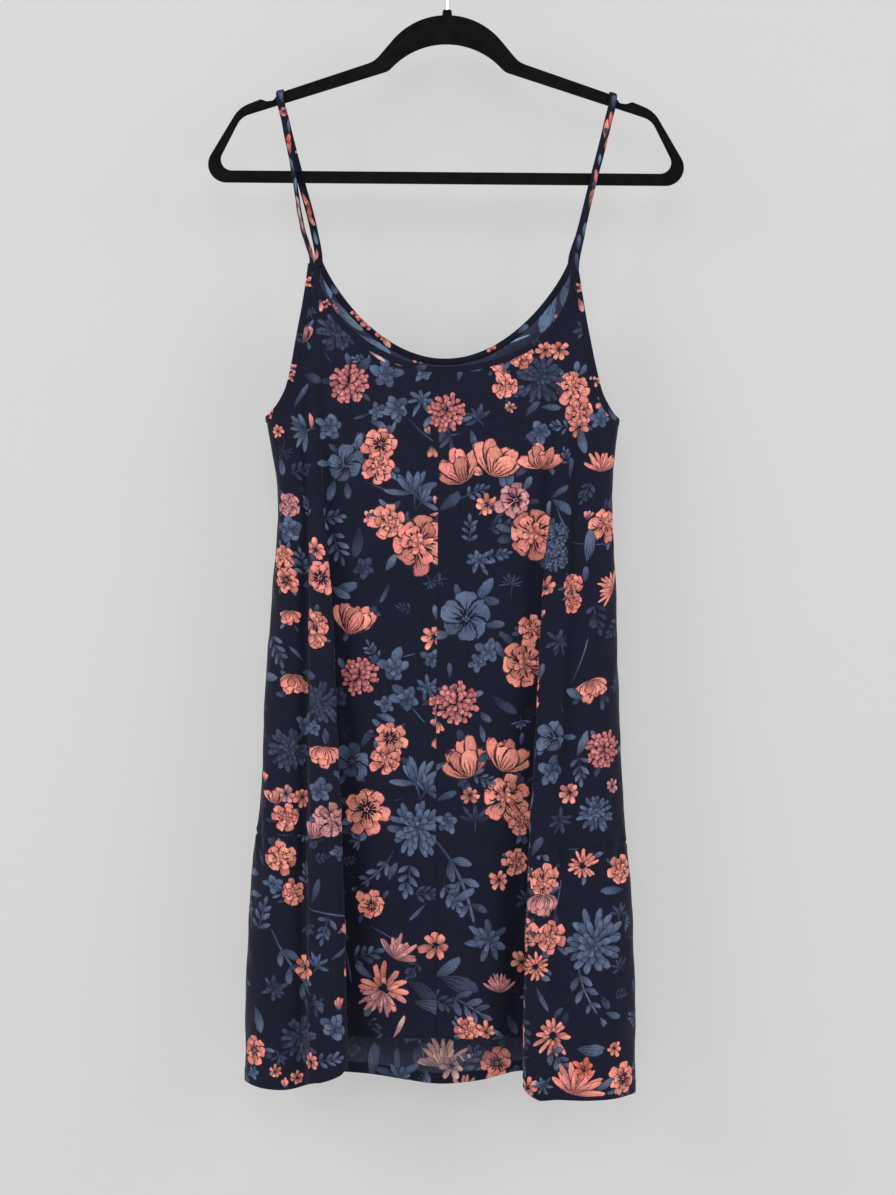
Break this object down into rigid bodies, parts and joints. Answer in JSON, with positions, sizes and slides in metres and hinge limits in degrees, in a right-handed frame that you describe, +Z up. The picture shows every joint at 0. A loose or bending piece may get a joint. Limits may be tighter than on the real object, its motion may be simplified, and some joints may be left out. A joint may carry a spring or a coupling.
{
  "type": "sundress on a hanger",
  "caption": "Sleeveless sundress with thin straps, a round neck and a gathered tier at the hem, hanging from a slim flocked hanger with a wire hook.",
  "frame": {"origin": "top of the inside of the hanger's hook, where a rail carries it, in the middle of the hanger's thickness", "axes": "+Z up, the dress hangs down -Z; the side facing the camera, taken as the front, faces -Y; +X is to the viewer's right, along the hanger"},
  "size_m": [0.4454, 0.0779, 1.0801],
  "materials": {
    "back_neck_binding": "printed crepe, navy ground with coral, pink and slate flowers",
    "back_panel": "printed crepe, navy ground with coral, pink and slate flowers",
    "back_tier": "printed crepe, navy ground with coral, pink and slate flowers",
    "front_left_panel": "printed crepe, navy ground with coral, pink and slate flowers",
    "front_left_tier": "printed crepe, navy ground with coral, pink and slate flowers",
    "front_neck_binding": "printed crepe, navy ground with coral, pink and slate flowers",
    "front_right_panel": "printed crepe, navy ground with coral, pink and slate flowers",
    "front_right_tier": "printed crepe, navy ground with coral, pink and slate flowers",
    "hanger_frame": "black flocked",
    "hanger_hook": "plated steel wire",
    "left_armhole_binding": "printed crepe, navy ground with coral, pink and slate flowers",
    "left_strap": "printed crepe, navy ground with coral, pink and slate flowers",
    "right_armhole_binding": "printed crepe, navy ground with coral, pink and slate flowers",
    "right_strap": "printed crepe, navy ground with coral, pink and slate flowers"
  },
  "bodies": {
    "root": {"back_neck_binding": "back_neck_binding", "back_panel": "back_panel", "back_tier": "back_tier", "front_left_panel": "front_left_panel", "front_left_tier": "front_left_tier", "front_neck_binding": "front_neck_binding", "front_right_panel": "front_right_panel", "front_right_tier": "front_right_tier", "hanger_frame": "hanger_frame", "hanger_hook": "hanger_hook", "left_armhole_binding": "left_armhole_binding", "left_strap": "left_strap", "right_armhole_binding": "right_armhole_binding", "right_strap": "right_strap"}
  },
  "joints": []
}
